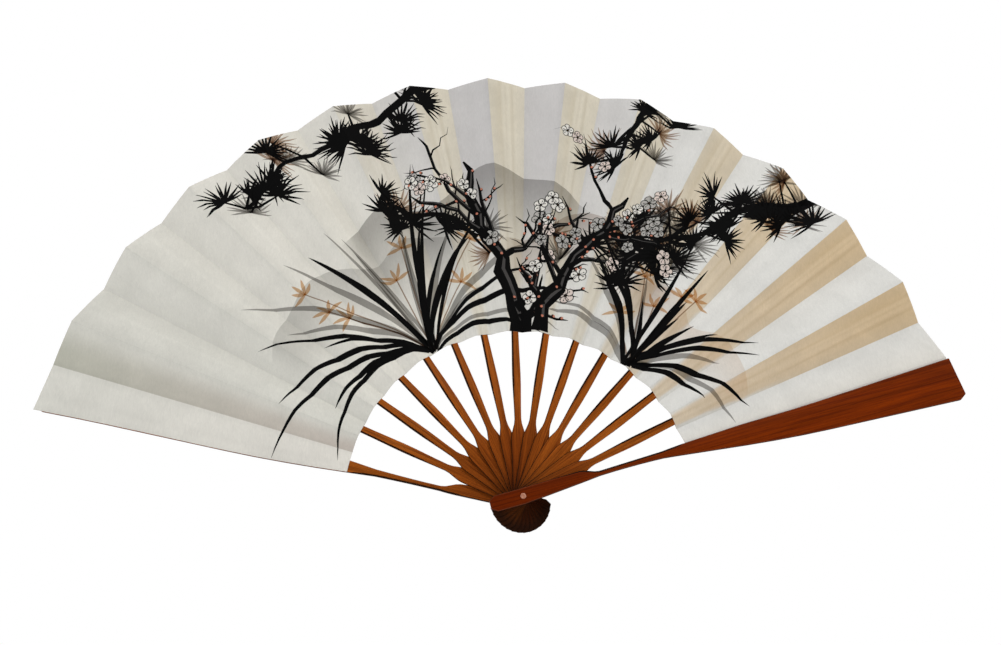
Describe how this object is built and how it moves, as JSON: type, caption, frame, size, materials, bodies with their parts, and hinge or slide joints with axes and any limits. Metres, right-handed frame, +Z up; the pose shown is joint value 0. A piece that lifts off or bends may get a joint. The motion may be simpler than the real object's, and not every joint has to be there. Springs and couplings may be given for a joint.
{
  "type": "folding fan",
  "caption": "Folding fan: slim wooden ribs and wider wooden guards turn on a rivet to spread a pleated paper leaf.",
  "frame": {"origin": "on the rivet's axis, halfway through the stack of sticks, where the hand holds the fan", "axes": "+X to the right and +Z up along the open fan's centre line, both in the plane of the open fan; the painted front faces -Y"},
  "size_m": [0.5878, 0.0286, 0.3201],
  "materials": {
    "guard_wood": "dark red-brown varnished wood, satin",
    "rib_wood": "orange-brown varnished wood, satin",
    "splint_wood": "plain thin wood, matt",
    "rivet_horn": "pale pinkish horn, polished",
    "leaf_paper": "off-white mounted paper, matt, with an ink painting on the front"
  },
  "bodies": {
    "back_guard": {"back_guard": "guard_wood", "back_end_panel": "leaf_paper", "rivet": "rivet_horn"},
    "rib_01": {"rib_01": "rib_wood"},
    "rib_02": {"rib_02": "rib_wood"},
    "rib_03": {"rib_03": "rib_wood"},
    "rib_04": {"rib_04": "rib_wood"},
    "rib_05": {"rib_05": "rib_wood"},
    "rib_06": {"rib_06": "rib_wood"},
    "rib_07": {"rib_07": "rib_wood"},
    "rib_08": {"rib_08": "rib_wood"},
    "rib_09": {"rib_09": "rib_wood"},
    "rib_10": {"rib_10": "rib_wood"},
    "rib_11": {"rib_11": "rib_wood"},
    "rib_12": {"rib_12": "rib_wood"},
    "rib_13": {"rib_13": "rib_wood"},
    "pleat_01": {"rib_panel_01": "leaf_paper", "splint_01": "splint_wood"},
    "pleat_02": {"rib_panel_02": "leaf_paper", "splint_02": "splint_wood"},
    "pleat_03": {"rib_panel_03": "leaf_paper", "splint_03": "splint_wood"},
    "pleat_04": {"rib_panel_04": "leaf_paper", "splint_04": "splint_wood"},
    "pleat_05": {"rib_panel_05": "leaf_paper", "splint_05": "splint_wood"},
    "pleat_06": {"rib_panel_06": "leaf_paper", "splint_06": "splint_wood"},
    "pleat_07": {"rib_panel_07": "leaf_paper", "splint_07": "splint_wood"},
    "pleat_08": {"rib_panel_08": "leaf_paper", "splint_08": "splint_wood"},
    "pleat_09": {"rib_panel_09": "leaf_paper", "splint_09": "splint_wood"},
    "pleat_10": {"rib_panel_10": "leaf_paper", "splint_10": "splint_wood"},
    "pleat_11": {"rib_panel_11": "leaf_paper", "splint_11": "splint_wood"},
    "pleat_12": {"rib_panel_12": "leaf_paper", "splint_12": "splint_wood"},
    "pleat_13": {"rib_panel_13": "leaf_paper", "splint_13": "splint_wood"},
    "fold_00": {"free_panel_00": "leaf_paper"},
    "fold_01": {"free_panel_01": "leaf_paper"},
    "fold_02": {"free_panel_02": "leaf_paper"},
    "fold_03": {"free_panel_03": "leaf_paper"},
    "fold_04": {"free_panel_04": "leaf_paper"},
    "fold_05": {"free_panel_05": "leaf_paper"},
    "fold_06": {"free_panel_06": "leaf_paper"},
    "fold_07": {"free_panel_07": "leaf_paper"},
    "fold_08": {"free_panel_08": "leaf_paper"},
    "fold_09": {"free_panel_09": "leaf_paper"},
    "fold_10": {"free_panel_10": "leaf_paper"},
    "fold_11": {"free_panel_11": "leaf_paper"},
    "fold_12": {"free_panel_12": "leaf_paper"},
    "fold_13": {"free_panel_13": "leaf_paper"},
    "front_guard": {"front_guard": "guard_wood", "front_end_panel": "leaf_paper"}
  },
  "joints": [
    {"name": "fan_fold", "type": "hinge", "parent": "back_guard", "child": "front_guard", "pos_m": [0, 0, 0], "axis": [0, -1, 0], "range_deg": [0, 151.7]},
    {"name": "rib_01_turn", "type": "hinge", "parent": "back_guard", "child": "rib_01", "pos_m": [0, 0, 0], "axis": [0, -1, 0], "range_deg": [0, 10.85]},
    {"name": "rib_02_turn", "type": "hinge", "parent": "back_guard", "child": "rib_02", "pos_m": [0, 0, 0], "axis": [0, -1, 0], "range_deg": [0, 21.68]},
    {"name": "rib_03_turn", "type": "hinge", "parent": "back_guard", "child": "rib_03", "pos_m": [0, 0, 0], "axis": [0, -1, 0], "range_deg": [0, 32.52]},
    {"name": "rib_04_turn", "type": "hinge", "parent": "back_guard", "child": "rib_04", "pos_m": [0, 0, 0], "axis": [0, -1, 0], "range_deg": [0, 43.35]},
    {"name": "rib_05_turn", "type": "hinge", "parent": "back_guard", "child": "rib_05", "pos_m": [0, 0, 0], "axis": [0, -1, 0], "range_deg": [0, 54.19]},
    {"name": "rib_06_turn", "type": "hinge", "parent": "back_guard", "child": "rib_06", "pos_m": [0, 0, 0], "axis": [0, -1, 0], "range_deg": [0, 65.02]},
    {"name": "rib_07_turn", "type": "hinge", "parent": "back_guard", "child": "rib_07", "pos_m": [0, 0, 0], "axis": [0, -1, 0], "range_deg": [0, 75.86]},
    {"name": "rib_08_turn", "type": "hinge", "parent": "back_guard", "child": "rib_08", "pos_m": [0, 0, 0], "axis": [0, -1, 0], "range_deg": [0, 86.7]},
    {"name": "rib_09_turn", "type": "hinge", "parent": "back_guard", "child": "rib_09", "pos_m": [0, 0, 0], "axis": [0, -1, 0], "range_deg": [0, 97.53]},
    {"name": "rib_10_turn", "type": "hinge", "parent": "back_guard", "child": "rib_10", "pos_m": [0, 0, 0], "axis": [0, -1, 0], "range_deg": [0, 108.37]},
    {"name": "rib_11_turn", "type": "hinge", "parent": "back_guard", "child": "rib_11", "pos_m": [0, 0, 0], "axis": [0, -1, 0], "range_deg": [0, 119.2]},
    {"name": "rib_12_turn", "type": "hinge", "parent": "back_guard", "child": "rib_12", "pos_m": [0, 0, 0], "axis": [0, -1, 0], "range_deg": [0, 130.04]},
    {"name": "rib_13_turn", "type": "hinge", "parent": "back_guard", "child": "rib_13", "pos_m": [0, 0, 0], "axis": [0, -1, 0], "range_deg": [0, 140.87]},
    {"name": "pleat_01_tilt", "type": "hinge", "parent": "rib_01", "child": "pleat_01", "pos_m": [0, 0.009, 0], "axis": [0.9064, 0, -0.4224], "range_deg": [0, 20.01]},
    {"name": "pleat_02_tilt", "type": "hinge", "parent": "rib_02", "child": "pleat_02", "pos_m": [0, 0.0075, 0], "axis": [0.8108, 0, -0.5853], "range_deg": [0, 20.01]},
    {"name": "pleat_03_tilt", "type": "hinge", "parent": "rib_03", "child": "pleat_03", "pos_m": [0, 0.006, 0], "axis": [0.6864, 0, -0.7273], "range_deg": [0, 20.01]},
    {"name": "pleat_04_tilt", "type": "hinge", "parent": "rib_04", "child": "pleat_04", "pos_m": [0, 0.0045, 0], "axis": [0.5374, 0, -0.8433], "range_deg": [0, 20.01]},
    {"name": "pleat_05_tilt", "type": "hinge", "parent": "rib_05", "child": "pleat_05", "pos_m": [0, 0.003, 0], "axis": [0.3693, 0, -0.9293], "range_deg": [0, 20.01]},
    {"name": "pleat_06_tilt", "type": "hinge", "parent": "rib_06", "child": "pleat_06", "pos_m": [0, 0.0015, 0], "axis": [0.188, 0, -0.9822], "range_deg": [0, 20.01]},
    {"name": "pleat_07_tilt", "type": "hinge", "parent": "rib_07", "child": "pleat_07", "pos_m": [0, 0, 0], "axis": [0, 0, -1], "range_deg": [0, 20.01]},
    {"name": "pleat_08_tilt", "type": "hinge", "parent": "rib_08", "child": "pleat_08", "pos_m": [0, -0.0015, 0], "axis": [-0.188, 0, -0.9822], "range_deg": [0, 20.01]},
    {"name": "pleat_09_tilt", "type": "hinge", "parent": "rib_09", "child": "pleat_09", "pos_m": [0, -0.003, 0], "axis": [-0.3693, 0, -0.9293], "range_deg": [0, 20.01]},
    {"name": "pleat_10_tilt", "type": "hinge", "parent": "rib_10", "child": "pleat_10", "pos_m": [0, -0.0045, 0], "axis": [-0.5374, 0, -0.8433], "range_deg": [0, 20.01]},
    {"name": "pleat_11_tilt", "type": "hinge", "parent": "rib_11", "child": "pleat_11", "pos_m": [0, -0.006, 0], "axis": [-0.6864, 0, -0.7273], "range_deg": [0, 20.01]},
    {"name": "pleat_12_tilt", "type": "hinge", "parent": "rib_12", "child": "pleat_12", "pos_m": [0, -0.0075, 0], "axis": [-0.8108, 0, -0.5853], "range_deg": [0, 20.01]},
    {"name": "pleat_13_tilt", "type": "hinge", "parent": "rib_13", "child": "pleat_13", "pos_m": [0, -0.009, 0], "axis": [-0.9064, 0, -0.4224], "range_deg": [0, 20.01]},
    {"name": "crease_00_fold", "type": "hinge", "parent": "back_guard", "child": "fold_00", "pos_m": [0, 0.0104, 0], "axis": [0.957, 0, -0.29], "range_deg": [0, 164.23], "deforming": ["free_panel_00"]},
    {"name": "crease_01_fold", "type": "hinge", "parent": "pleat_01", "child": "fold_01", "pos_m": [0, 0.009, 0], "axis": [0.8853, -0.0172, -0.4647], "range_deg": [0, 134.57], "deforming": ["free_panel_01"]},
    {"name": "crease_02_fold", "type": "hinge", "parent": "pleat_02", "child": "fold_02", "pos_m": [0, 0.0075, 0], "axis": [0.7822, -0.0172, -0.6228], "range_deg": [0, 134.57], "deforming": ["free_panel_02"]},
    {"name": "crease_03_fold", "type": "hinge", "parent": "pleat_03", "child": "fold_03", "pos_m": [0, 0.006, 0], "axis": [0.6511, -0.0172, -0.7588], "range_deg": [0, 134.57], "deforming": ["free_panel_03"]},
    {"name": "crease_04_fold", "type": "hinge", "parent": "pleat_04", "child": "fold_04", "pos_m": [0, 0.0045, 0], "axis": [0.4969, -0.0172, -0.8677], "range_deg": [0, 134.57], "deforming": ["free_panel_04"]},
    {"name": "crease_05_fold", "type": "hinge", "parent": "pleat_05", "child": "fold_05", "pos_m": [0, 0.003, 0], "axis": [0.3249, -0.0172, -0.9456], "range_deg": [0, 134.57], "deforming": ["free_panel_05"]},
    {"name": "crease_06_fold", "type": "hinge", "parent": "pleat_06", "child": "fold_06", "pos_m": [0, 0.0015, 0], "axis": [0.1413, -0.0172, -0.9898], "range_deg": [0, 134.57], "deforming": ["free_panel_06"]},
    {"name": "crease_07_fold", "type": "hinge", "parent": "pleat_07", "child": "fold_07", "pos_m": [0, 0, 0], "axis": [-0.0473, -0.0172, -0.9987], "range_deg": [0, 134.57], "deforming": ["free_panel_07"]},
    {"name": "crease_08_fold", "type": "hinge", "parent": "pleat_08", "child": "fold_08", "pos_m": [0, -0.0015, 0], "axis": [-0.2342, -0.0172, -0.972], "range_deg": [0, 134.57], "deforming": ["free_panel_08"]},
    {"name": "crease_09_fold", "type": "hinge", "parent": "pleat_09", "child": "fold_09", "pos_m": [0, -0.003, 0], "axis": [-0.4127, -0.0172, -0.9107], "range_deg": [0, 134.57], "deforming": ["free_panel_09"]},
    {"name": "crease_10_fold", "type": "hinge", "parent": "pleat_10", "child": "fold_10", "pos_m": [0, -0.0045, 0], "axis": [-0.5766, -0.0172, -0.8169], "range_deg": [0, 134.57], "deforming": ["free_panel_10"]},
    {"name": "crease_11_fold", "type": "hinge", "parent": "pleat_11", "child": "fold_11", "pos_m": [0, -0.006, 0], "axis": [-0.7199, -0.0172, -0.6939], "range_deg": [0, 134.57], "deforming": ["free_panel_11"]},
    {"name": "crease_12_fold", "type": "hinge", "parent": "pleat_12", "child": "fold_12", "pos_m": [0, -0.0075, 0], "axis": [-0.8375, -0.0172, -0.5462], "range_deg": [0, 134.57], "deforming": ["free_panel_12"]},
    {"name": "crease_13_fold", "type": "hinge", "parent": "pleat_13", "child": "fold_13", "pos_m": [0, -0.009, 0], "axis": [-0.9252, -0.0172, -0.379], "range_deg": [0, 144.3], "deforming": ["free_panel_13"]}
  ],
  "couplings": [
    {"joint": "rib_01_turn", "follows": "fan_fold", "ratio": 0.071429},
    {"joint": "rib_02_turn", "follows": "fan_fold", "ratio": 0.14286},
    {"joint": "rib_03_turn", "follows": "fan_fold", "ratio": 0.21429},
    {"joint": "rib_04_turn", "follows": "fan_fold", "ratio": 0.28571},
    {"joint": "rib_05_turn", "follows": "fan_fold", "ratio": 0.35714},
    {"joint": "rib_06_turn", "follows": "fan_fold", "ratio": 0.42857},
    {"joint": "rib_07_turn", "follows": "fan_fold", "ratio": 0.5},
    {"joint": "rib_08_turn", "follows": "fan_fold", "ratio": 0.57143},
    {"joint": "rib_09_turn", "follows": "fan_fold", "ratio": 0.64286},
    {"joint": "rib_10_turn", "follows": "fan_fold", "ratio": 0.71429},
    {"joint": "rib_11_turn", "follows": "fan_fold", "ratio": 0.78571},
    {"joint": "rib_12_turn", "follows": "fan_fold", "ratio": 0.85714},
    {"joint": "rib_13_turn", "follows": "fan_fold", "ratio": 0.92857},
    {"joint": "pleat_01_tilt", "follows": "fan_fold", "ratio": 0.13184},
    {"joint": "pleat_02_tilt", "follows": "fan_fold", "ratio": 0.13184},
    {"joint": "pleat_03_tilt", "follows": "fan_fold", "ratio": 0.13184},
    {"joint": "pleat_04_tilt", "follows": "fan_fold", "ratio": 0.13184},
    {"joint": "pleat_05_tilt", "follows": "fan_fold", "ratio": 0.13184},
    {"joint": "pleat_06_tilt", "follows": "fan_fold", "ratio": 0.13184},
    {"joint": "pleat_07_tilt", "follows": "fan_fold", "ratio": 0.13184},
    {"joint": "pleat_08_tilt", "follows": "fan_fold", "ratio": 0.13184},
    {"joint": "pleat_09_tilt", "follows": "fan_fold", "ratio": 0.13184},
    {"joint": "pleat_10_tilt", "follows": "fan_fold", "ratio": 0.13184},
    {"joint": "pleat_11_tilt", "follows": "fan_fold", "ratio": 0.13184},
    {"joint": "pleat_12_tilt", "follows": "fan_fold", "ratio": 0.13184},
    {"joint": "pleat_13_tilt", "follows": "fan_fold", "ratio": 0.13184},
    {"joint": "crease_00_fold", "follows": "fan_fold", "ratio": 1.0825},
    {"joint": "crease_01_fold", "follows": "fan_fold", "ratio": 0.88704},
    {"joint": "crease_02_fold", "follows": "fan_fold", "ratio": 0.88704},
    {"joint": "crease_03_fold", "follows": "fan_fold", "ratio": 0.88704},
    {"joint": "crease_04_fold", "follows": "fan_fold", "ratio": 0.88704},
    {"joint": "crease_05_fold", "follows": "fan_fold", "ratio": 0.88704},
    {"joint": "crease_06_fold", "follows": "fan_fold", "ratio": 0.88704},
    {"joint": "crease_07_fold", "follows": "fan_fold", "ratio": 0.88704},
    {"joint": "crease_08_fold", "follows": "fan_fold", "ratio": 0.88704},
    {"joint": "crease_09_fold", "follows": "fan_fold", "ratio": 0.88704},
    {"joint": "crease_10_fold", "follows": "fan_fold", "ratio": 0.88704},
    {"joint": "crease_11_fold", "follows": "fan_fold", "ratio": 0.88704},
    {"joint": "crease_12_fold", "follows": "fan_fold", "ratio": 0.88704},
    {"joint": "crease_13_fold", "follows": "fan_fold", "ratio": 0.95113}
  ]
}
